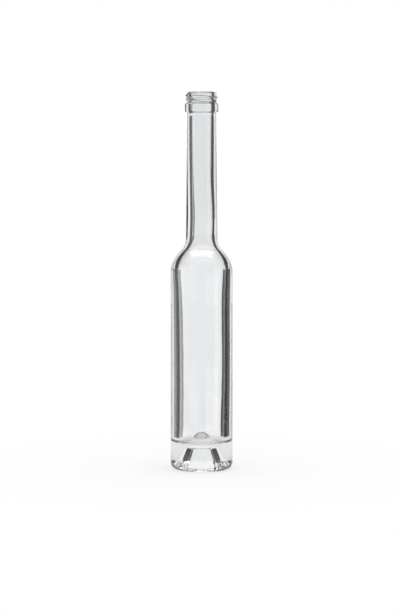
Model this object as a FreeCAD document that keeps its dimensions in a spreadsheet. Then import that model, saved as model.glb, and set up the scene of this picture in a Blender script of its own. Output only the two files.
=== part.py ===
"""A tall, slim, clear glass bottle for oil, empty and open, blown in one piece.

Units are millimetres. +Z is up and is the bottle's axis. The origin is the centre of
the ring that the bottle stands on. From the bottom up the outside has a push-up, a
standing ring, a rounded heel, a straight body, an S-shaped shoulder, a long neck that
narrows a little upwards, a transfer ring, a roll-on thread and a rounded lip. The
cavity follows it inside a thick wall, down to a heavy domed floor.
"""
import FreeCAD, Part
import math
import os
import Sketcher

# Each driving dimension: its name in the sheet, its value, and what it measures.
DIMENSIONS = [
    ("overall_height", 320.0, "standing surface to the top of the lip"),
    ("body_diameter", 52.6, "outside of the straight body"),
    ("heel_radius", 5.5, "rounding from the body to the standing ring"),
    ("body_straight_top", 166.3, "height at which the shoulder begins"),
    ("shoulder_radius", 26.0, "convex arc at the top of the body"),
    ("throat_radius", 15.0, "concave arc that runs up into the neck"),
    ("finish_diameter", 25.1, "cylinder that the thread stands on"),
    ("neck_relief", 0.35, "how far the neck's top lies inside that cylinder"),
    ("neck_spread", 1.2, "how much the neck's radius grows down to the shoulder"),
    ("thread_zone_height", 9.2, "top of the transfer ring to the lip"),
    ("ring_height", 8.1, "transfer ring from its underside to its top"),
    ("ring_projection", 1.65, "transfer ring beyond the thread's cylinder"),
    ("ring_lower_rounding", 1.2, "lower edge of the transfer ring"),
    ("ring_upper_rounding", 2.0, "upper edge of the transfer ring"),
    ("lip_rounding", 1.9, "outer edge of the lip"),
    ("thread_pitch", 3.18, "rise of the thread in one turn"),
    ("thread_turns", 1.55, "turns of the thread"),
    ("thread_projection", 1.0, "thread crest beyond its cylinder"),
    ("thread_base_width", 2.1, "thread where it enters the wall"),
    ("thread_crest_width", 0.9, "rounded crest of the thread"),
    ("thread_gap", 0.15, "top of the transfer ring to the thread's lower end"),
    ("thread_overlap", 0.6, "how far the thread's section reaches into the wall"),
    ("finish_wall", 3.55, "wall between the mouth bore and the thread's cylinder"),
    ("mouth_inner_rounding", 0.9, "inner edge of the lip"),
    ("mouth_bore_depth", 16.7, "lip to the end of the mouth bore"),
    ("bore_taper_length", 4.0, "from the mouth bore down to the neck bore"),
    ("neck_wall", 3.8, "wall at the neck's top"),
    ("throat_bore_radius", 27.0, "concave arc of the cavity below the neck bore"),
    ("cavity_shoulder_radius", 23.0, "convex arc at the top of the cavity's side"),
    ("cavity_shoulder_lift", 0.9, "how far above the outside's that arc begins"),
    ("wall_thickness", 5.4, "wall at the top of the body"),
    ("wall_thickening", 1.5, "how much thicker the wall is just above the floor"),
    ("floor_corner_radius", 3.5, "rounding from the wall to the floor"),
    ("floor_height", 22.9, "lowest ring of the floor"),
    ("floor_trough_width", 6.3, "flat of that ring, from the corner to the dome"),
    ("floor_dome_height", 9.4, "middle of the floor above its lowest ring"),
    ("floor_dome_fillet", 0.8, "concave arc round the foot of the dome"),
    ("standing_ring_width", 3.4, "flat that the bottle stands on"),
    ("push_up_height", 19.5, "top of the hollow under the base"),
    ("push_up_roof_radius", 1.3, "rounding between the hollow's side and its roof"),
    ("push_up_draft", 19.0, "lean of the hollow's side from upright, in degrees"),
    ("push_up_flare_radius", 3.0, "arc between the hollow's side and its brim"),
    ("push_up_brim_width", 4.79, "brim from the standing ring in to its arc"),
    ("push_up_brim_slope", 60.0, "rise of the brim from the standing ring, in degrees"),
]

CUT_OVERSHOOT = 1.0
GAP_TOLERANCE = 1e-6


def make_sheet(doc):
    """The spreadsheet that every feature reads its sizes from."""
    sheet = doc.addObject("Spreadsheet::Sheet", "sizes")
    sheet.set("A1", "size")
    sheet.set("B1", "value in mm")
    sheet.set("C1", "what it measures")
    for row, (name, value, meaning) in enumerate(DIMENSIONS, start=2):
        sheet.set("A%d" % row, name)
        sheet.set("B%d" % row, str(value))
        sheet.set("C%d" % row, meaning)
        sheet.setAlias("B%d" % row, name)
    doc.recompute()
    return sheet


def origin_plane(body, role):
    """The body's own origin plane with the given role."""
    for feature in body.Origin.OriginFeatures:
        if feature.Role == role:
            return feature
    raise RuntimeError("the body has no plane " + role)


def upright_sketch(body, name):
    """A sketch on the XZ plane: its first axis is the radius, its second the height."""
    sketch = body.newObject("Sketcher::SketchObject", name)
    sketch.AttachmentSupport = [(origin_plane(body, "XZ_Plane"), "")]
    sketch.MapMode = "FlatFace"
    return sketch


class Outline:
    """A closed outline of straight and round edges in a sketch, bound to the sheet.

    Points are (radius, height). They start where the sizes put them, and the
    constraints then hold them there when a size in the sheet changes.
    """

    def __init__(self, sketch, start):
        self.sketch = sketch
        self.first = start
        self.here = start
        self.edges = []
        self.ends = []

    def add(self, shape, end, start_place, end_place, smooth):
        edge = self.sketch.addGeometry(shape, False)
        if self.edges:
            joint = (self.edges[-1], self.ends[-1][1], edge, start_place)
            kind = "Tangent" if smooth else "Coincident"
            self.sketch.addConstraint(Sketcher.Constraint(kind, *joint))
        self.edges.append(edge)
        self.ends.append((start_place, end_place))
        self.here = end
        return edge

    def line(self, end, smooth=False):
        """A straight edge to end; smooth makes it tangent to the edge before it."""
        shape = Part.LineSegment(FreeCAD.Vector(*self.here, 0), FreeCAD.Vector(*end, 0))
        return self.add(shape, end, 1, 2, smooth)

    def arc(self, centre, end, left_turn, smooth=True):
        """A round edge about centre to end, turning left or right as it goes."""
        radius = math.dist(self.here, centre)
        angle_here = math.atan2(self.here[1] - centre[1], self.here[0] - centre[0])
        angle_end = math.atan2(end[1] - centre[1], end[0] - centre[0])
        axis = FreeCAD.Vector(0, 0, 1)
        circle = Part.Circle(FreeCAD.Vector(*centre, 0), axis, radius)
        if left_turn:
            return self.add(Part.ArcOfCircle(circle, angle_here, angle_end), end, 1, 2, smooth)
        return self.add(Part.ArcOfCircle(circle, angle_end, angle_here), end, 2, 1, smooth)

    def close(self):
        """A last straight edge back to the first point."""
        edge = self.line(self.first)
        joint = (edge, 2, self.edges[0], self.ends[0][0])
        self.sketch.addConstraint(Sketcher.Constraint("Coincident", *joint))
        return edge

    def end_of(self, edge):
        return self.ends[self.edges.index(edge)][1]

    def bind(self, constraint, name, expression):
        """Add a constraint whose value follows an expression of the sheet."""
        number = self.sketch.addConstraint(constraint)
        self.sketch.renameConstraint(number, name)
        self.sketch.setExpression("Constraints." + name, expression)

    def place_radius(self, edge, name, expression):
        """Hold the end of an edge at a distance from the axis."""
        x = self.end_point(edge)[0]
        rule = Sketcher.Constraint("DistanceX", -1, 1, edge, self.end_of(edge), x)
        self.bind(rule, name, expression)

    def place_height(self, edge, name, expression):
        """Hold the end of an edge at a height above the standing surface."""
        y = self.end_point(edge)[1]
        rule = Sketcher.Constraint("DistanceY", -1, 1, edge, self.end_of(edge), y)
        self.bind(rule, name, expression)

    def place_centre_radius(self, edge, name, expression):
        """Hold the centre of a round edge at a distance from the axis."""
        x = self.sketch.Geometry[edge].Center.x
        self.bind(Sketcher.Constraint("DistanceX", -1, 1, edge, 3, x), name, expression)

    def size_arc(self, edge, name, expression):
        """Give a round edge its radius."""
        radius = self.sketch.Geometry[edge].Radius
        self.bind(Sketcher.Constraint("Radius", edge, radius), name, expression)

    def aim(self, edge, angle, name, expression):
        """Give a straight edge its direction, counted from the radius axis."""
        self.bind(Sketcher.Constraint("Angle", edge, angle), name, expression)

    def end_point(self, edge):
        point = self.sketch.getPoint(edge, self.end_of(edge))
        return (point.x, point.y)

    def end_on_axis(self, edge):
        rule = Sketcher.Constraint("PointOnObject", edge, self.end_of(edge), -2)
        self.sketch.addConstraint(rule)

    def end_on_ground(self, edge):
        rule = Sketcher.Constraint("PointOnObject", edge, self.end_of(edge), -1)
        self.sketch.addConstraint(rule)

    def level(self, *edges):
        for edge in edges:
            self.sketch.addConstraint(Sketcher.Constraint("Horizontal", edge))

    def upright(self, *edges):
        for edge in edges:
            self.sketch.addConstraint(Sketcher.Constraint("Vertical", edge))


def s_curve(low_radius, low_height, high_radius, convex, concave):
    """Two arcs from an upright side in to a narrower upright side above it.

    Returns the centre of the convex arc, the point where the arcs meet, the centre
    of the concave arc and the point where that one reaches the narrower side.
    """
    lower = (low_radius - convex, low_height)
    across = high_radius + concave - lower[0]
    rise = math.sqrt((convex + concave) ** 2 - across ** 2)
    upper = (high_radius + concave, low_height + rise)
    share = convex / (convex + concave)
    meeting = (lower[0] + share * across, low_height + share * rise)
    return lower, meeting, upper, (high_radius, upper[1])


def outside_outline(body, size):
    """Half of the bottle's outside, solid from the standing plane to the lip."""
    body_r = size.body_diameter / 2
    finish_r = size.finish_diameter / 2
    top_r = finish_r - size.neck_relief
    base_r = top_r + size.neck_spread
    ring_r = finish_r + size.ring_projection
    height = size.overall_height
    heel = size.heel_radius
    lip = size.lip_rounding
    edge_r = size.ring_lower_rounding
    ring_top = height - size.thread_zone_height
    ring_low = ring_top - size.ring_height
    round_r = size.ring_upper_rounding
    side_top = ring_top - math.sqrt(round_r ** 2 - (round_r - size.ring_projection) ** 2)
    convex, meeting, concave, neck_start = s_curve(
        body_r, size.body_straight_top, base_r, size.shoulder_radius, size.throat_radius)

    sketch = upright_sketch(body, "outside_outline")
    path = Outline(sketch, (0, 0))
    ground = path.line((body_r - heel, 0))
    heel_arc = path.arc((body_r - heel, heel), (body_r, heel), True)
    side = path.line((body_r, size.body_straight_top), smooth=True)
    shoulder = path.arc(convex, meeting, True)
    throat = path.arc(concave, neck_start, False)
    neck = path.line((top_r, ring_low), smooth=True)
    ring_floor = path.line((ring_r - edge_r, ring_low))
    ring_edge = path.arc((ring_r - edge_r, ring_low + edge_r), (ring_r, ring_low + edge_r), True)
    ring_side = path.line((ring_r, side_top), smooth=True)
    ring_roof = path.arc((ring_r - round_r, side_top), (finish_r, ring_top), True)
    finish = path.line((finish_r, height - lip))
    lip_arc = path.arc((finish_r - lip, height - lip), (finish_r - lip, height), True)
    top = path.line((0, height), smooth=True)
    axis = path.close()

    neck_top = "sizes.finish_diameter / 2 - sizes.neck_relief"
    ring_top_height = "sizes.overall_height - sizes.thread_zone_height"
    path.end_on_ground(axis)
    path.end_on_axis(axis)
    path.level(ground, ring_floor, top)
    path.upright(side, ring_side, finish, axis)
    path.size_arc(heel_arc, "heel", "sizes.heel_radius")
    path.place_radius(side, "body_radius", "sizes.body_diameter / 2")
    path.place_height(side, "body_top", "sizes.body_straight_top")
    path.size_arc(shoulder, "shoulder", "sizes.shoulder_radius")
    path.size_arc(throat, "throat", "sizes.throat_radius")
    path.place_radius(throat, "neck_base", neck_top + " + sizes.neck_spread")
    path.place_radius(neck, "neck_top", neck_top)
    path.place_height(neck, "ring_low", ring_top_height + " - sizes.ring_height")
    path.size_arc(ring_edge, "ring_edge", "sizes.ring_lower_rounding")
    path.place_radius(ring_side, "ring_side", "sizes.finish_diameter / 2 + sizes.ring_projection")
    path.size_arc(ring_roof, "ring_roof", "sizes.ring_upper_rounding")
    path.place_height(ring_roof, "ring_top", ring_top_height)
    path.place_radius(finish, "finish_radius", "sizes.finish_diameter / 2")
    path.size_arc(lip_arc, "lip", "sizes.lip_rounding")
    path.place_height(top, "top", "sizes.overall_height")
    return sketch


def cavity_outline(body, size):
    """Half of the cavity: mouth, bore, throat, shoulder, wall and domed floor."""
    mouth_r = size.finish_diameter / 2 - size.finish_wall
    bore_r = size.finish_diameter / 2 - size.neck_relief - size.neck_wall
    high_r = size.body_diameter / 2 - size.wall_thickness
    low_r = high_r - size.wall_thickening
    height = size.overall_height
    lip = size.mouth_inner_rounding
    bore_end = height - size.mouth_bore_depth
    taper_end = bore_end - size.bore_taper_length
    wall_top = size.body_straight_top + size.cavity_shoulder_lift
    convex, meeting, concave, bore_low = s_curve(
        high_r, wall_top, bore_r, size.cavity_shoulder_radius, size.throat_bore_radius)
    corner = size.floor_corner_radius
    floor = size.floor_height
    dome = size.floor_dome_height
    dome_foot = low_r - corner - size.floor_trough_width
    fillet_r = size.floor_dome_fillet
    dome_r = (dome_foot ** 2 + dome ** 2) / (2 * dome) - fillet_r
    dome_centre = (0, floor + dome - dome_r)
    fillet_centre = (dome_foot, floor + fillet_r)
    share = dome_r / (dome_r + fillet_r)
    dome_edge = (share * dome_foot, dome_centre[1] + share * (fillet_centre[1] - dome_centre[1]))

    sketch = upright_sketch(body, "cavity_outline")
    path = Outline(sketch, (0, height + CUT_OVERSHOOT))
    opening = path.line((mouth_r + lip, height + CUT_OVERSHOOT))
    entry = path.line((mouth_r + lip, height))
    lip_arc = path.arc((mouth_r + lip, height - lip), (mouth_r, height - lip), True, smooth=False)
    mouth = path.line((mouth_r, bore_end), smooth=True)
    taper = path.line((bore_r, taper_end))
    bore = path.line(bore_low)
    throat = path.arc(concave, meeting, True)
    shoulder = path.arc(convex, (high_r, wall_top), False)
    wall = path.line((low_r, floor + corner))
    corner_arc = path.arc((low_r - corner, floor + corner), (low_r - corner, floor), False)
    trough = path.line((dome_foot, floor), smooth=True)
    fillet = path.arc(fillet_centre, dome_edge, False)
    crown = path.arc(dome_centre, (0, floor + dome), True)
    axis = path.close()

    mouth_radius = "sizes.finish_diameter / 2 - sizes.finish_wall"
    bore_radius = "sizes.finish_diameter / 2 - sizes.neck_relief - sizes.neck_wall"
    high_radius = "sizes.body_diameter / 2 - sizes.wall_thickness"
    path.end_on_axis(axis)
    path.level(opening, trough)
    path.upright(entry, mouth, bore, axis)
    path.place_height(axis, "overshoot", "sizes.overall_height + %g" % CUT_OVERSHOOT)
    path.place_height(entry, "top", "sizes.overall_height")
    path.size_arc(lip_arc, "mouth_edge", "sizes.mouth_inner_rounding")
    path.place_centre_radius(
        lip_arc, "mouth_edge_radius", mouth_radius + " + sizes.mouth_inner_rounding")
    sketch.addConstraint(Sketcher.Constraint("Vertical", lip_arc, 3, entry, 2))
    path.place_height(mouth, "mouth_end", "sizes.overall_height - sizes.mouth_bore_depth")
    path.place_radius(taper, "bore_radius", bore_radius)
    path.bind(
        Sketcher.Constraint("DistanceY", taper, 2, taper, 1, size.bore_taper_length),
        "bore_taper", "sizes.bore_taper_length")
    path.size_arc(throat, "throat", "sizes.throat_bore_radius")
    path.size_arc(shoulder, "shoulder", "sizes.cavity_shoulder_radius")
    path.place_radius(shoulder, "high_radius", high_radius)
    path.place_height(
        shoulder, "wall_top", "sizes.body_straight_top + sizes.cavity_shoulder_lift")
    sketch.addConstraint(Sketcher.Constraint("Horizontal", shoulder, 3, shoulder, 1))
    path.place_radius(wall, "low_radius", high_radius + " - sizes.wall_thickening")
    path.size_arc(corner_arc, "floor_corner", "sizes.floor_corner_radius")
    path.place_height(trough, "floor", "sizes.floor_height")
    path.bind(
        Sketcher.Constraint("DistanceX", trough, 2, trough, 1, size.floor_trough_width),
        "trough", "sizes.floor_trough_width")
    path.size_arc(fillet, "dome_fillet", "sizes.floor_dome_fillet")
    path.place_height(crown, "dome_top", "sizes.floor_height + sizes.floor_dome_height")
    sketch.addConstraint(Sketcher.Constraint("PointOnObject", crown, 3, -2))
    return sketch


def push_up_outline(body, size):
    """Half of the hollow under the base, from its roof out to the standing ring."""
    inner_r = size.body_diameter / 2 - size.heel_radius - size.standing_ring_width
    roof = size.push_up_height
    round_r = size.push_up_roof_radius
    flare = size.push_up_flare_radius
    lean = math.radians(size.push_up_draft)
    rise = math.radians(size.push_up_brim_slope)
    brim_end = (inner_r - size.push_up_brim_width, size.push_up_brim_width * math.tan(rise))
    flare_centre = (brim_end[0] + flare * math.sin(rise), brim_end[1] + flare * math.cos(rise))
    side_low = (flare_centre[0] - flare * math.cos(lean), flare_centre[1] - flare * math.sin(lean))
    side_top_height = roof - round_r + round_r * math.sin(lean)
    top_r = side_low[0] - (side_top_height - side_low[1]) * math.tan(lean)
    side_top = (top_r, side_top_height)
    roof_centre = (top_r - round_r * math.cos(lean), roof - round_r)

    sketch = upright_sketch(body, "push_up_outline")
    path = Outline(sketch, (0, -CUT_OVERSHOOT))
    below = path.line((inner_r, -CUT_OVERSHOOT))
    entry = path.line((inner_r, 0))
    brim = path.line(brim_end)
    flare_arc = path.arc(flare_centre, side_low, False)
    side = path.line(side_top, smooth=True)
    roof_arc = path.arc(roof_centre, (roof_centre[0], roof), True)
    ceiling = path.line((0, roof), smooth=True)
    axis = path.close()

    path.end_on_axis(axis)
    path.level(below, ceiling)
    path.upright(entry, axis)
    path.place_height(axis, "undershoot", "%g" % -CUT_OVERSHOOT)
    path.end_on_ground(entry)
    path.place_radius(
        entry, "ring_inner",
        "sizes.body_diameter / 2 - sizes.heel_radius - sizes.standing_ring_width")
    path.place_radius(
        brim, "brim_width",
        "sizes.body_diameter / 2 - sizes.heel_radius - sizes.standing_ring_width"
        " - sizes.push_up_brim_width")
    path.aim(brim, math.pi - rise, "brim_slope", "180 - sizes.push_up_brim_slope")
    path.size_arc(flare_arc, "flare", "sizes.push_up_flare_radius")
    path.aim(side, math.pi / 2 + lean, "draft", "90 + sizes.push_up_draft")
    path.size_arc(roof_arc, "roof_round", "sizes.push_up_roof_radius")
    path.place_height(ceiling, "roof", "sizes.push_up_height")
    return sketch


def thread_section(body, size):
    """The thread's section at its lower end: a foot in the wall and a rounded crest."""
    half_base = size.thread_base_width / 2
    half_crest = size.thread_crest_width / 2
    foot_r = size.finish_diameter / 2 - size.thread_overlap
    crest_r = size.finish_diameter / 2 + size.thread_projection - half_crest
    foot_low = size.overall_height - size.thread_zone_height + size.thread_gap
    middle = foot_low + half_base

    sketch = upright_sketch(body, "thread_section")
    path = Outline(sketch, (foot_r, foot_low))
    path.line((crest_r, middle - half_crest))
    crest = path.arc((crest_r, middle), (crest_r, middle + half_crest), True, smooth=False)
    upper = path.line((foot_r, middle + half_base))
    foot = path.close()

    low = "sizes.overall_height - sizes.thread_zone_height + sizes.thread_gap"
    path.upright(foot)
    path.size_arc(crest, "crest", "sizes.thread_crest_width / 2")
    path.place_centre_radius(
        crest, "crest_centre",
        "sizes.finish_diameter / 2 + sizes.thread_projection - sizes.thread_crest_width / 2")
    sketch.addConstraint(Sketcher.Constraint("Vertical", crest, 1, crest, 3))
    sketch.addConstraint(Sketcher.Constraint("Vertical", crest, 2, crest, 3))
    path.place_height(
        crest, "crest_top", low + " + (sizes.thread_base_width + sizes.thread_crest_width) / 2")
    path.place_radius(upper, "foot", "sizes.finish_diameter / 2 - sizes.thread_overlap")
    path.place_height(upper, "foot_top", low + " + sizes.thread_base_width")
    path.place_height(foot, "foot_low", low)
    return sketch


def turn_about_axis(body, kind, name, sketch):
    """Turn an outline once about the bottle's axis, adding or cutting it."""
    feature = body.newObject("PartDesign::" + kind, name)
    feature.Profile = sketch
    feature.ReferenceAxis = (sketch, ["V_Axis"])
    feature.Angle = 360.0
    body.Document.recompute()
    return feature


def wind_thread(body, sketch):
    """Wind the thread's section up round the finish as a right-handed helix."""
    thread = body.newObject("PartDesign::AdditiveHelix", "thread")
    thread.Profile = sketch
    thread.ReferenceAxis = (sketch, ["V_Axis"])
    thread.Mode = "pitch-turns-angle"
    thread.LeftHanded = False
    thread.Reversed = False
    thread.setExpression("Pitch", "sizes.thread_pitch")
    thread.setExpression("Turns", "sizes.thread_turns")
    body.Document.recompute()
    return thread


def make_bottle(doc, size):
    """The whole bottle, one body of clear glass."""
    body = doc.addObject("PartDesign::Body", "bottle")
    body.Label = "bottle"
    turn_about_axis(body, "Revolution", "outside", outside_outline(body, size))
    turn_about_axis(body, "Groove", "push_up", push_up_outline(body, size))
    turn_about_axis(body, "Groove", "cavity", cavity_outline(body, size))
    thread = wind_thread(body, thread_section(body, size))
    body.Tip = thread
    body.Placement = FreeCAD.Placement()
    doc.recompute()
    return body


def check_document(doc, parts):
    """Stop if a feature failed, a sketch is loose or a part isn't one valid solid."""
    for item in doc.Objects:
        for state in ("Invalid", "Error"):
            if state in item.State:
                raise RuntimeError("%s is %s" % (item.Name, state))
        if item.TypeId == "Sketcher::SketchObject" and not item.FullyConstrained:
            raise RuntimeError("%s is not fully constrained" % item.Name)
    for part in parts:
        shape = part.Shape
        if shape.isNull() or not shape.isValid():
            raise RuntimeError("%s has no valid shape" % part.Label)
        if len(shape.Solids) != 1 or len(shape.Shells) != 1:
            raise RuntimeError("%s is not one solid with one skin" % part.Label)


def check_fit(bottle, size):
    """Stop if the finished glass doesn't reach exactly from the ground to the lip."""
    box = bottle.Shape.optimalBoundingBox(False, False)
    if abs(box.ZMin) > GAP_TOLERANCE * size.overall_height:
        raise RuntimeError("the bottle doesn't stand on the ground")
    if abs(box.ZMax - size.overall_height) > GAP_TOLERANCE * size.overall_height:
        raise RuntimeError("the lip isn't at the overall height")


def main():
    doc = FreeCAD.newDocument("oil_bottle")
    size = make_sheet(doc)
    bottle = make_bottle(doc, size)
    check_document(doc, [bottle])
    check_fit(bottle, size)
    os.makedirs("parts", exist_ok=True)
    for part in [bottle]:
        part.Shape.exportStep("parts/%s.step" % part.Label)
        print("%s: %.1f cm3 of glass" % (part.Label, part.Shape.Volume / 1000))


main()
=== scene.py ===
"""A tall, empty bottle for oil, of clear glass, on a small white table in a white studio."""
import math

import bpy
import numpy as np
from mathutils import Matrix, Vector


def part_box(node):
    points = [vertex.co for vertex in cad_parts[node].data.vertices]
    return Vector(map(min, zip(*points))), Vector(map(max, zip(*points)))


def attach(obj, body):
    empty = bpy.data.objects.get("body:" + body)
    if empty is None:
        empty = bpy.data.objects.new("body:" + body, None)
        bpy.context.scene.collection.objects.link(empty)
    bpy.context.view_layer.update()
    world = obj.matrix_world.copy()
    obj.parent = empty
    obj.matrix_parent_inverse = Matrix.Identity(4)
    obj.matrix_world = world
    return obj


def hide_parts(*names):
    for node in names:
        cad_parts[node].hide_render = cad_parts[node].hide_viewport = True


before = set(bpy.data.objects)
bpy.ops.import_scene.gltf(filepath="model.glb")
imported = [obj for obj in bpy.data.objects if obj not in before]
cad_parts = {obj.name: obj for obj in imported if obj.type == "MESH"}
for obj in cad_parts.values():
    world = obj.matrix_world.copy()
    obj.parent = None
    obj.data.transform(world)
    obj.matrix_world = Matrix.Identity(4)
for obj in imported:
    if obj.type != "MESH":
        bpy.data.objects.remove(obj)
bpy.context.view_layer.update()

# Every length below is in millimetres, and MM takes it to metres. A shorter one than NO_LENGTH is none.
MM = 0.001
NO_LENGTH = 1e-6

# The outside, as the CAD model has it. RING_NECK_ROUNDING softens a corner that is sharp there.
base_corner, top_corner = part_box("bottle")
OVERALL_HEIGHT = round(top_corner.z / MM, 1)
BODY_RADIUS = round(top_corner.x / MM, 1)
HEEL_RADIUS = 5.5
BODY_STRAIGHT_TOP = 166.3
SHOULDER_RADIUS = 26.0
THROAT_RADIUS = 15.0
NECK_FOOT_RADIUS = 13.4
NECK_TOP_RADIUS = 12.2
FINISH_RADIUS = 12.55
RING_FOOT = OVERALL_HEIGHT - 17.3
RING_TOP = OVERALL_HEIGHT - 9.2
RING_RADIUS = FINISH_RADIUS + 1.65
RING_LOWER_ROUNDING = 1.2
RING_NECK_ROUNDING = 0.75
RING_UPPER_ROUNDING = 2.0
LIP_ROUNDING = 1.9

# The thread that a roll-on cap is pressed against. THREAD_FADE, at each end, is in turns.
THREAD_PITCH = 3.18
THREAD_TURNS = 1.55
THREAD_PROJECTION = 1.0
THREAD_BASE_WIDTH = 2.6
THREAD_CREST_WIDTH = 0.5
THREAD_FOOT = RING_TOP + 0.15
THREAD_START_LIFT = 1.05
THREAD_FADE = 0.06

# The inside.
MOUTH_RADIUS = 9.0
MOUTH_INNER_ROUNDING = 0.9
MOUTH_FOOT = OVERALL_HEIGHT - 16.7
BORE_TOP = MOUTH_FOOT - 4.0
BORE_TOP_RADIUS = 8.55
BORE_RADIUS = 8.4
BORE_STEP_ROUNDING = 6.0
THROAT_BORE_RADIUS = 27.0
INNER_SHOULDER_RADIUS = 23.0
INNER_SHOULDER_FOOT = 167.2
INNER_SLOPE_RUN = 1.0
WALL_AT_SHOULDER = 5.4
WALL_AT_FLOOR = 6.95
FLOOR_CORNER_RADIUS = 3.5
FLOOR_HEIGHT = 22.9
FLOOR_DOME_HEIGHT = 9.4
FLOOR_DOME_FOOT = 9.6
FLOOR_DOME_FILLET = 0.8

# The hollow under the base, and the ring that the bottle stands on.
STANDING_RING_OUTER = BODY_RADIUS - HEEL_RADIUS
STANDING_RING_INNER = STANDING_RING_OUTER - 3.4
STANDING_RING_ROUNDING = 0.3
PUSH_UP_HEIGHT = 19.5
PUSH_UP_TOP_RADIUS = 9.0
PUSH_UP_ROOF_RADIUS = 1.3
PUSH_UP_DRAFT = math.radians(19.0)
PUSH_UP_FLARE_RADIUS = 3.0
PUSH_UP_BRIM_SLOPE = math.radians(60.0)

# The unevenness of the inner wall, first its swells: how far each one stands in, the height of its middle,
# and its spread. The two leans stand in on the -X side and back on the +X side.
BODY_LEAN = (0.4, 88.0, 48.0)
NECK_LEAN = (0.75, 215.0, 24.0)
NECK_SWELL = (0.3, 245.0, 20.0)

# Then its steps: how far each one stands in, the height where it starts, and how far below that it is full.
# The upper one fades out again downwards, and all of the unevenness fades out just above the floor.
UPPER_WALL = (0.8, 176.0, 40.0)
UPPER_WALL_FOOT = 40.0
UPPER_WALL_FADE = 90.0
LOWER_WALL = (0.35, 100.0, 50.0)
FLOOR_CLEARANCE = 2.0
FLOOR_FADE = 12.0

# The uneven bars pressed into the standing ring and its brim. Each wander is how far it shifts the bars,
# the waves it makes round the ring, and where they start. The bars are deepest at the +X and -X sides.
KNURL_BARS = 30.0
KNURL_WANDERS = [(1.1, 5.0, 0.4), (0.8, 11.0, 1.9)]
KNURL_FAINTER = 0.25
KNURL_FAINTER_WAVES = 7.0
KNURL_FAINTER_START = 0.8
KNURL_LEAST = 0.15
KNURL_MORE_AT_SIDES = 0.35
KNURL_START_RADIUS = 12.8
KNURL_FADE = 1.2

# The mesh. Arcs of a small radius need fewer steps.
SEGMENTS = 144
ARC_STEP = math.radians(3.0)
SMALL_ARC_STEP = math.radians(7.5)
SMALL_ROUNDING = 3.6


def s_curve_angle(across, radii, straight=0.0):
    """The steepest angle of two arcs that move a wall sideways by across, with a straight run between.

    radii is the sum of the arcs' radii."""
    return math.acos((radii - across) / math.hypot(radii, straight)) - math.atan2(straight, radii)


def tangent_length(radius, turn):
    """How far from its corner a rounding of that radius starts, where the outline turns by turn."""
    return radius * math.tan(turn / 2.0)


class Outline:
    """A half section: corners in order, each with its rounding and the step along the run after it.

    fine says that the rings there have twice as many points."""

    def __init__(self):
        self.corners = []

    def corner(self, radius, height, rounding=0.0, step=1.0, part="plain", fine=False):
        self.corners.append((np.array((radius, height)), rounding, step, part, fine))

    def rounded(self, index):
        """The points of one corner: an arc tangent to the two runs that meet there."""
        here, rounding = self.corners[index][:2]
        if rounding == 0.0 or index in (0, len(self.corners) - 1):
            return [here]
        before = self.corners[index - 1][0] - here
        after = self.corners[index + 1][0] - here
        before /= np.linalg.norm(before)
        after /= np.linalg.norm(after)
        turn = math.pi - math.acos(np.clip(before @ after, -1.0, 1.0))
        reach = tangent_length(rounding, turn)
        halfway = (before + after) / np.linalg.norm(before + after)
        centre = here + halfway * rounding / math.cos(turn / 2.0)
        start = here + before * reach - centre
        side = here + after * reach - centre
        side = side - (side @ start) * start / (start @ start)
        side *= rounding / np.linalg.norm(side)
        arc_step = SMALL_ARC_STEP if rounding < SMALL_ROUNDING else ARC_STEP
        count = max(2, math.ceil(turn / arc_step))
        angles = np.linspace(0.0, turn, count + 1)
        return [centre + start * math.cos(angle) + side * math.sin(angle) for angle in angles]

    def sample(self):
        """Points along the outline, with the part and the fineness that each one belongs to."""
        points, parts, fine = [], [], []

        def add(point, part, is_fine):
            if points and np.linalg.norm(points[-1] - point) < NO_LENGTH:
                return
            points.append(point)
            parts.append(part)
            fine.append(is_fine)

        for index, (_, _, step, part, is_fine) in enumerate(self.corners):
            arc = self.rounded(index)
            for point in arc:
                add(point, part, is_fine)
            if index + 1 == len(self.corners):
                break
            start, end = arc[-1], self.rounded(index + 1)[0]
            count = max(1, math.ceil(np.linalg.norm(end - start) / step))
            for share in np.linspace(0.0, 1.0, count + 1)[1:-1]:
                add(start + (end - start) * share, part, is_fine)
        return np.array(points), parts, fine


def base_corners(outline):
    """The hollow under the base, from its roof to the standing ring."""
    roof_turn = math.pi / 2.0 - PUSH_UP_DRAFT
    roof_reach = tangent_length(PUSH_UP_ROOF_RADIUS, roof_turn)
    roof_corner = PUSH_UP_TOP_RADIUS - roof_reach * math.sin(PUSH_UP_DRAFT)
    lean, rise = math.tan(PUSH_UP_DRAFT), math.tan(PUSH_UP_BRIM_SLOPE)
    foot_radius = roof_corner + lean * (PUSH_UP_HEIGHT - rise * STANDING_RING_INNER)
    foot_radius /= 1.0 - lean * rise
    outline.corner(0.0, PUSH_UP_HEIGHT, step=1.2, part="push_up")
    outline.corner(roof_corner, PUSH_UP_HEIGHT, PUSH_UP_ROOF_RADIUS, step=1.0, part="push_up")
    foot_height = rise * (STANDING_RING_INNER - foot_radius)
    outline.corner(foot_radius, foot_height, PUSH_UP_FLARE_RADIUS, step=0.5, part="brim", fine=True)
    brim = STANDING_RING_INNER
    outline.corner(brim, 0.0, STANDING_RING_ROUNDING, step=0.35, part="standing_ring", fine=True)
    outline.corner(BODY_RADIUS, 0.0, HEEL_RADIUS, step=4.0, part="heel")


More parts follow.
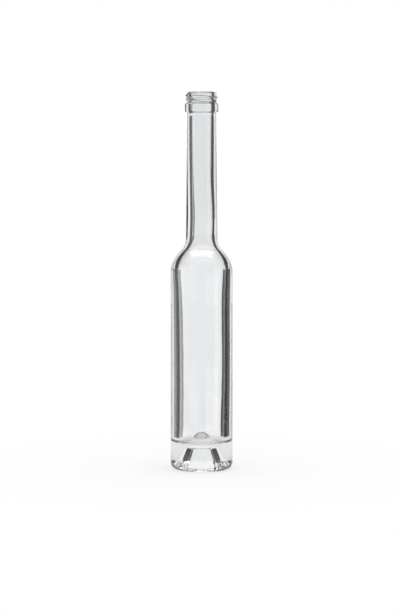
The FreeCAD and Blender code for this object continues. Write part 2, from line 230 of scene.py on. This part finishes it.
def outside_corners(outline):
    """The body, shoulder, neck and finish, from the heel to the lip."""
    steepest = s_curve_angle(BODY_RADIUS - NECK_FOOT_RADIUS, SHOULDER_RADIUS + THROAT_RADIUS)
    shoulder_reach = tangent_length(SHOULDER_RADIUS, steepest)
    slope_length = shoulder_reach + tangent_length(THROAT_RADIUS, steepest)
    shoulder_height = BODY_STRAIGHT_TOP + shoulder_reach
    outline.corner(BODY_RADIUS, shoulder_height, SHOULDER_RADIUS, step=2.0, part="shoulder")
    throat_height = shoulder_height + slope_length * math.cos(steepest)
    outline.corner(NECK_FOOT_RADIUS, throat_height, THROAT_RADIUS, step=1.6, part="neck")
    outline.corner(NECK_TOP_RADIUS, RING_FOOT, RING_NECK_ROUNDING, step=0.4, part="ring")
    outline.corner(RING_RADIUS, RING_FOOT, RING_LOWER_ROUNDING, step=1.0, part="ring")
    bevel = math.acos((FINISH_RADIUS - RING_RADIUS + RING_UPPER_ROUNDING) / RING_UPPER_ROUNDING)
    straight_top = RING_TOP - RING_UPPER_ROUNDING * math.sin(bevel)
    ring_corner = straight_top + tangent_length(RING_UPPER_ROUNDING, bevel)
    outline.corner(RING_RADIUS, ring_corner, RING_UPPER_ROUNDING, step=0.5, part="ring")
    outline.corner(FINISH_RADIUS, RING_TOP, step=0.27, part="finish")
    outline.corner(FINISH_RADIUS, OVERALL_HEIGHT, LIP_ROUNDING, step=0.8, part="lip")


def inside_corners(outline):
    """The mouth, bore and cavity, from the lip to the middle of the floor."""
    body_bore = BODY_RADIUS - WALL_AT_SHOULDER
    radii = THROAT_BORE_RADIUS + INNER_SHOULDER_RADIUS
    steepest = s_curve_angle(body_bore - BORE_RADIUS, radii, INNER_SLOPE_RUN)
    slope_length = tangent_length(radii, steepest) + INNER_SLOPE_RUN
    inner_shoulder = INNER_SHOULDER_FOOT + tangent_length(INNER_SHOULDER_RADIUS, steepest)
    outline.corner(MOUTH_RADIUS, OVERALL_HEIGHT, MOUTH_INNER_ROUNDING, step=1.2, part="mouth")
    outline.corner(MOUTH_RADIUS, MOUTH_FOOT, BORE_STEP_ROUNDING, step=0.7, part="bore")
    outline.corner(BORE_TOP_RADIUS, BORE_TOP, BORE_STEP_ROUNDING, step=1.6, part="bore")
    throat_height = inner_shoulder + slope_length * math.cos(steepest)
    outline.corner(BORE_RADIUS, throat_height, THROAT_BORE_RADIUS, step=2.0, part="cavity")
    outline.corner(body_bore, inner_shoulder, INNER_SHOULDER_RADIUS, step=3.5, part="cavity")
    wall_foot = BODY_RADIUS - WALL_AT_FLOOR
    outline.corner(wall_foot, FLOOR_HEIGHT, FLOOR_CORNER_RADIUS, step=0.9, part="floor")
    apex = FLOOR_HEIGHT + FLOOR_DOME_HEIGHT
    dome_slope = 2.0 * math.atan(FLOOR_DOME_HEIGHT / FLOOR_DOME_FOOT)
    dome_radius = FLOOR_DOME_FOOT / math.sin(dome_slope) - FLOOR_DOME_FILLET
    fillet_corner = FLOOR_DOME_FOOT - tangent_length(FLOOR_DOME_FILLET, dome_slope)
    outline.corner(fillet_corner, FLOOR_HEIGHT, FLOOR_DOME_FILLET, step=0.9, part="floor")
    outline.corner(tangent_length(dome_radius, dome_slope), apex, dome_radius, step=0.9, part="floor")
    outline.corner(0.0, apex, part="floor")


def smooth_step(value):
    """0 below 0, 1 above 1, and a soft rise between."""
    value = np.clip(value, 0.0, 1.0)
    return value * value * (3.0 - 2.0 * value)


def thread_relief(angle, height):
    """How far the right-handed thread stands out. It starts on the +X side and fades at both ends."""
    relief = np.zeros_like(angle)
    half_base, half_crest = THREAD_BASE_WIDTH / 2.0, THREAD_CREST_WIDTH / 2.0
    for turn in range(math.ceil(THREAD_TURNS)):
        along = angle / (2.0 * math.pi) + turn
        middle = THREAD_FOOT + THREAD_START_LIFT + along * THREAD_PITCH
        flank = (half_base - np.abs(height - middle)) / (half_base - half_crest)
        ends = smooth_step(along / THREAD_FADE) * smooth_step((THREAD_TURNS - along) / THREAD_FADE)
        relief = np.maximum(relief, THREAD_PROJECTION * smooth_step(flank) * ends)
    return relief


def swell(height, amount, middle, spread):
    """A soft bump along the height, as high as amount at its middle."""
    return amount * np.exp(-(((height - middle) / spread) ** 2))


def step_down(height, amount, start, length):
    """A soft step that rises to amount as the height falls below start."""
    return amount * smooth_step((start - height) / length)


def cavity_relief(angle, height):
    """How far the uneven inner wall stands into the cavity from where the outline has it."""
    relief = (swell(height, *BODY_LEAN) + swell(height, *NECK_LEAN)) * -np.cos(angle)
    upper_wall = step_down(height, *UPPER_WALL)
    relief += upper_wall * smooth_step((height - UPPER_WALL_FOOT) / UPPER_WALL_FADE)
    relief += step_down(height, *LOWER_WALL)
    relief += swell(height, *NECK_SWELL)
    return relief * smooth_step((height - FLOOR_HEIGHT - FLOOR_CLEARANCE) / FLOOR_FADE)


def knurl_relief(angle, radius):
    """The bars, as negative heights. Slow waves shift them sideways, and another makes some fainter."""
    wander = sum(shift * np.sin(waves * angle + start) for shift, waves, start in KNURL_WANDERS)
    bars = 0.5 - 0.5 * np.cos(KNURL_BARS * angle + wander)
    strength = KNURL_LEAST + KNURL_MORE_AT_SIDES * np.cos(angle) ** 2
    fainter = np.sin(KNURL_FAINTER_WAVES * angle + KNURL_FAINTER_START)
    strength = strength * (1.0 - KNURL_FAINTER + KNURL_FAINTER * fainter)
    return -strength * bars * smooth_step((radius - KNURL_START_RADIUS) / KNURL_FADE)


def revolve(name, outline):
    """A closed mesh of the outline turned about the upright axis, with the reliefs along its normals."""
    points, parts, fine = outline.sample()
    tangents = np.gradient(points, axis=0)
    tangents /= np.linalg.norm(tangents, axis=1)[:, None]
    vertices, faces, rings = [], [], []
    for index, (point, tangent) in enumerate(zip(points, tangents)):
        if point[0] < NO_LENGTH:
            rings.append((len(vertices), 1))
            vertices.append((0.0, 0.0, point[1] * MM))
            continue
        count = SEGMENTS * 2 if fine[index] else SEGMENTS
        angle = np.arange(count) * 2.0 * math.pi / count
        height = np.full(count, point[1])
        relief = np.zeros(count)
        if parts[index] == "finish":
            relief = thread_relief(angle, height)
        if parts[index] in ("cavity", "bore"):
            relief = cavity_relief(angle, height)
        if parts[index] in ("brim", "standing_ring"):
            relief = knurl_relief(angle, point[0])
        radius = point[0] + tangent[1] * relief
        height = height - tangent[0] * relief
        rings.append((len(vertices), count))
        vertices.extend(zip(radius * np.cos(angle) * MM, radius * np.sin(angle) * MM, height * MM))
    for (low, low_count), (high, high_count) in zip(rings, rings[1:]):
        faces.extend(band(low, low_count, high, high_count))
    mesh = bpy.data.meshes.new(name)
    mesh.from_pydata(vertices, [], faces)
    mesh.validate()
    mesh.shade_smooth()
    piece = bpy.data.objects.new(name, mesh)
    bpy.context.scene.collection.objects.link(piece)
    return piece


def band(low, low_count, high, high_count):
    """The faces between two neighbouring rings. One may have twice the other's points, or only one."""
    steps = max(low_count, high_count)

    def at(start, count, step):
        return start + step * count // steps % count

    for step in range(steps):
        corners = [at(low, low_count, step), at(low, low_count, step + 1)]
        corners += [at(high, high_count, step + 1), at(high, high_count, step)]
        yield list(dict.fromkeys(corners))


# The glass. The noise scales are in waves per metre.
FLINT_GLASS_IOR = 1.52
STREAK_SCALE = 14.0
DULLER_TINT = (0.988, 0.991, 0.990, 1.0)
CLEARER_TINT = (0.992, 0.993, 0.994, 1.0)
WAVE_SCALE = 38.0
WAVE_DEPTH = 0.12


def clear_glass():
    """Flint glass: smooth, almost colourless, with faint streaks and the waves that blowing leaves."""
    material = bpy.data.materials.new("clear_glass")
    material.use_nodes = True
    nodes, links = material.node_tree.nodes, material.node_tree.links
    shader = nodes["Principled BSDF"]
    shader.inputs["Transmission Weight"].default_value = 1.0
    shader.inputs["Roughness"].default_value = 0.0
    shader.inputs["IOR"].default_value = FLINT_GLASS_IOR
    place = nodes.new("ShaderNodeTexCoord")
    streaks = nodes.new("ShaderNodeTexNoise")
    streaks.inputs["Scale"].default_value = STREAK_SCALE
    streaks.inputs["Detail"].default_value = 3.0
    tint = nodes.new("ShaderNodeMix")
    tint.data_type = "RGBA"
    tint.inputs["A"].default_value = DULLER_TINT
    tint.inputs["B"].default_value = CLEARER_TINT
    links.new(place.outputs["Object"], streaks.inputs["Vector"])
    links.new(streaks.outputs["Fac"], tint.inputs["Factor"])
    links.new(tint.outputs["Result"], shader.inputs["Base Color"])
    waves = nodes.new("ShaderNodeTexNoise")
    waves.inputs["Scale"].default_value = WAVE_SCALE
    waves.inputs["Detail"].default_value = 2.0
    bump = nodes.new("ShaderNodeBump")
    bump.inputs["Strength"].default_value = 1.0
    bump.inputs["Distance"].default_value = WAVE_DEPTH * MM
    links.new(place.outputs["Object"], waves.inputs["Vector"])
    links.new(waves.outputs["Fac"], bump.inputs["Height"])
    links.new(bump.outputs["Normal"], shader.inputs["Normal"])
    return material


def bare_material(name):
    """A new material with nothing but its output: the material, its nodes, its links and that output."""
    material = bpy.data.materials.new(name)
    material.use_nodes = True
    nodes, links = material.node_tree.nodes, material.node_tree.links
    nodes.clear()
    return material, nodes, links, nodes.new("ShaderNodeOutputMaterial")


def shade_material(name, shade):
    """An even shade, from black past white, that glows by itself."""
    material, nodes, links, output = bare_material(name)
    glow = nodes.new("ShaderNodeEmission")
    glow.inputs["Color"].default_value = (shade, shade, shade, 1.0)
    links.new(glow.outputs["Emission"], output.inputs["Surface"])
    return material


# The white of a window: two heights, the brightness at shares of the way between them, and a faint colour.
WINDOW_LOW = -300.0
WINDOW_HIGH = 500.0
WINDOW_STEPS = [(0.0, 0.84), (0.19, 0.88), (0.32, 0.97), (0.47, 0.97), (0.62, 0.885), (1.0, 0.885)]
WINDOW_COLOUR = np.array((0.985, 0.998, 1.01))


def window_material(name):
    """A window: brightest where it stands behind the body, and a little duller above and below that."""
    material, nodes, links, output = bare_material(name)
    glow = nodes.new("ShaderNodeEmission")
    place = nodes.new("ShaderNodeTexCoord")
    split = nodes.new("ShaderNodeSeparateXYZ")
    share = nodes.new("ShaderNodeMapRange")
    share.inputs["From Min"].default_value = WINDOW_LOW * MM
    share.inputs["From Max"].default_value = WINDOW_HIGH * MM
    ramp = nodes.new("ShaderNodeValToRGB")
    elements = ramp.color_ramp.elements
    while len(elements) < len(WINDOW_STEPS):
        elements.new(0.5)
    for element, (position, level) in zip(elements, WINDOW_STEPS):
        element.position = position
        element.color = (*(level * WINDOW_COLOUR), 1.0)
    links.new(place.outputs["Object"], split.inputs["Vector"])
    links.new(split.outputs["Z"], share.inputs["Value"])
    links.new(share.outputs["Result"], ramp.inputs["Fac"])
    links.new(ramp.outputs["Color"], glow.inputs["Color"])
    links.new(glow.outputs["Emission"], output.inputs["Surface"])
    return material


# Degrees between the corners of a curved card.
CARD_STEP = 3.0


def card(name, radius, start, end, low, high, material):
    """An upright curved card round the bottle, seen only in the glass.

    start and end are degrees round from +X, and low and high are heights."""
    count = max(2, math.ceil(abs(end - start) / CARD_STEP))
    vertices = []
    for angle in np.radians(np.linspace(start, end, count + 1)):
        x, y = radius * MM * math.cos(angle), radius * MM * math.sin(angle)
        vertices += [(x, y, low * MM), (x, y, high * MM)]
    faces = [(2 * i, 2 * i + 2, 2 * i + 3, 2 * i + 1) for i in range(count)]
    mesh = bpy.data.meshes.new(name)
    mesh.from_pydata(vertices, [], faces)
    mesh.materials.append(material)
    return seen_only_in_glass(bpy.data.objects.new(name, mesh))


def overhead(name, height, near_corner, far_corner, material):
    """A level card above the bottle, seen only in the glass."""
    (left, front), (right, back) = near_corner, far_corner
    corners = [(left, front), (right, front), (right, back), (left, back)]
    mesh = bpy.data.meshes.new(name)
    mesh.from_pydata([(x * MM, y * MM, height * MM) for x, y in corners], [], [(0, 1, 2, 3)])
    mesh.materials.append(material)
    return seen_only_in_glass(bpy.data.objects.new(name, mesh))


def seen_only_in_glass(piece):
    """Put a card in the scene, hidden from the camera. It lights and shades nothing but the glass."""
    bpy.context.scene.collection.objects.link(piece)
    piece.visible_camera = False
    piece.visible_diffuse = False
    piece.visible_shadow = False
    return piece


def seen_in_glass(nodes, links):
    """1 for a ray that has been reflected in or has passed through the glass, and 0 for any other."""
    path = nodes.new("ShaderNodeLightPath")
    either = nodes.new("ShaderNodeMath")
    either.operation = "MAXIMUM"
    links.new(path.outputs["Is Glossy Ray"], either.inputs[0])
    links.new(path.outputs["Is Transmission Ray"], either.inputs[1])
    return either.outputs["Value"]


# How bright the world is in the glass. For the camera and the table it is 1.
GLASS_VIEW_LEVEL = 0.05


def white_world():
    """White all round. In the glass it is nearly black, so that the glass shows the cards instead."""
    world = bpy.data.worlds.new("studio")
    bpy.context.scene.world = world
    world.use_nodes = True
    nodes, links = world.node_tree.nodes, world.node_tree.links
    background = nodes["Background"]
    background.inputs["Color"].default_value = (1.0, 1.0, 1.0, 1.0)
    level = nodes.new("ShaderNodeMapRange")
    level.inputs["To Min"].default_value = 1.0
    level.inputs["To Max"].default_value = GLASS_VIEW_LEVEL
    links.new(seen_in_glass(nodes, links), level.inputs["Value"])
    links.new(level.outputs["Result"], background.inputs["Strength"])


# The table's diffuse share and its glow add up to white where the full light falls on it.
TABLE_RADIUS = 220.0
TABLE_EDGES = 128
TABLE_DIFFUSE = 0.35
TABLE_GLOW = 1.0 - TABLE_DIFFUSE
TABLE_GLOW_IN_GLASS = 0.45


def white_table():
    """The round table top. It is white where the light is full and keeps the bottle's shadow."""
    material, nodes, links, output = bare_material("table")
    both = nodes.new("ShaderNodeAddShader")
    matt = nodes.new("ShaderNodeBsdfDiffuse")
    glow = nodes.new("ShaderNodeEmission")
    matt.inputs["Color"].default_value = (TABLE_DIFFUSE, TABLE_DIFFUSE, TABLE_DIFFUSE, 1.0)
    level = nodes.new("ShaderNodeMapRange")
    level.inputs["To Min"].default_value = TABLE_GLOW
    level.inputs["To Max"].default_value = TABLE_GLOW_IN_GLASS
    links.new(seen_in_glass(nodes, links), level.inputs["Value"])
    links.new(level.outputs["Result"], glow.inputs["Strength"])
    links.new(matt.outputs["BSDF"], both.inputs[0])
    links.new(glow.outputs["Emission"], both.inputs[1])
    links.new(both.outputs["Shader"], output.inputs["Surface"])
    angles = np.arange(TABLE_EDGES) * 2.0 * math.pi / TABLE_EDGES
    radius = TABLE_RADIUS * MM
    vertices = [(radius * math.cos(angle), radius * math.sin(angle), 0.0) for angle in angles]
    mesh = bpy.data.meshes.new("table")
    mesh.from_pydata(vertices, [], [list(range(TABLE_EDGES))])
    mesh.materials.append(material)
    piece = bpy.data.objects.new("table", mesh)
    bpy.context.scene.collection.objects.link(piece)


# VIEW_HEIGHT is what the picture takes in from top to bottom, at the bottle.
CAMERA_DISTANCE = 2007.0
CAMERA_HEIGHT = 300.0
CAMERA_REACH = 20000.0
AIM_HEIGHT = 137.65
AIM_SIDE = -1.4
VIEW_HEIGHT = 521.6
SENSOR = 36.0


def camera():
    """The camera stands in front, just below the height of the bottle's mouth, and looks slightly down."""
    data = bpy.data.cameras.new("camera")
    slant = math.hypot(CAMERA_DISTANCE, CAMERA_HEIGHT - AIM_HEIGHT)
    data.sensor_width = SENSOR
    data.lens = SENSOR / 2.0 / (VIEW_HEIGHT / 2.0 / slant)
    data.clip_end = CAMERA_REACH * MM
    piece = bpy.data.objects.new("camera", data)
    place = Vector((AIM_SIDE, -CAMERA_DISTANCE, CAMERA_HEIGHT)) * MM
    aim = Vector((AIM_SIDE, 0.0, AIM_HEIGHT)) * MM
    piece.location = place
    piece.rotation_euler = (aim - place).to_track_quat("-Z", "Y").to_euler()
    bpy.context.scene.collection.objects.link(piece)
    bpy.context.scene.camera = piece


outline = Outline()
base_corners(outline)
outside_corners(outline)
inside_corners(outline)
bottle = revolve("glass_bottle", outline)
bottle.data.materials.append(clear_glass())
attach(bottle, "root")
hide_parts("bottle")

camera()
white_world()
white_table()

# The window behind the bottle is narrowest behind the body, where a grey card and a dim one flank it,
# widest behind the shoulder, and a little narrower behind the neck. The far windows are what the glass
# shows when it is seen from above, one from the back left and the other from the front right.
WINDOW_RADIUS = 1000.0
WINDOW_FOOT = -150.0
BODY_WINDOW_TOP = 63.0
NECK_WINDOW_FOOT = 150.0
BACK_WINDOW_TOP = 900.0
SIDE_WINDOW_TOP = 400.0
FAR_WINDOW_RADIUS = 6000.0
SOFTBOX_HEIGHT = 1500.0
GREY_SHADE = 0.27
DIM_SHADE = 0.07
SOFTBOX_SHADE = 2.8

white = window_material("white_card")
grey = shade_material("grey_card", GREY_SHADE)
dim = shade_material("dim_card", DIM_SHADE)
bright = shade_material("softbox", SOFTBOX_SHADE)
card("window_back", WINDOW_RADIUS, 54.0, 122.0, BODY_WINDOW_TOP, NECK_WINDOW_FOOT, white)
card("window_high_back", WINDOW_RADIUS, 60.0, 118.0, NECK_WINDOW_FOOT, BACK_WINDOW_TOP, white)
card("window_low_back", WINDOW_RADIUS, 70.0, 110.0, WINDOW_FOOT, BODY_WINDOW_TOP, white)
card("grey_left", WINDOW_RADIUS, 110.0, 130.0, WINDOW_FOOT, BODY_WINDOW_TOP, grey)
card("dim_right", WINDOW_RADIUS, 50.0, 70.0, WINDOW_FOOT, BODY_WINDOW_TOP, dim)
card("window_left", WINDOW_RADIUS, 158.0, 202.0, WINDOW_FOOT, SIDE_WINDOW_TOP, white)
card("far_window_right", FAR_WINDOW_RADIUS, 285.0, 345.0, -2150.0, -640.0, white)
card("far_window_left", FAR_WINDOW_RADIUS, 105.0, 165.0, -3400.0, -1100.0, white)
overhead("overhead", SOFTBOX_HEIGHT, (-820.0, -450.0), (820.0, 600.0), bright)

scene = bpy.context.scene
scene.view_settings.view_transform = "Standard"
scene.cycles.max_bounces = 32
scene.cycles.transmission_bounces = 32
scene.cycles.glossy_bounces = 24
scene.cycles.diffuse_bounces = 4
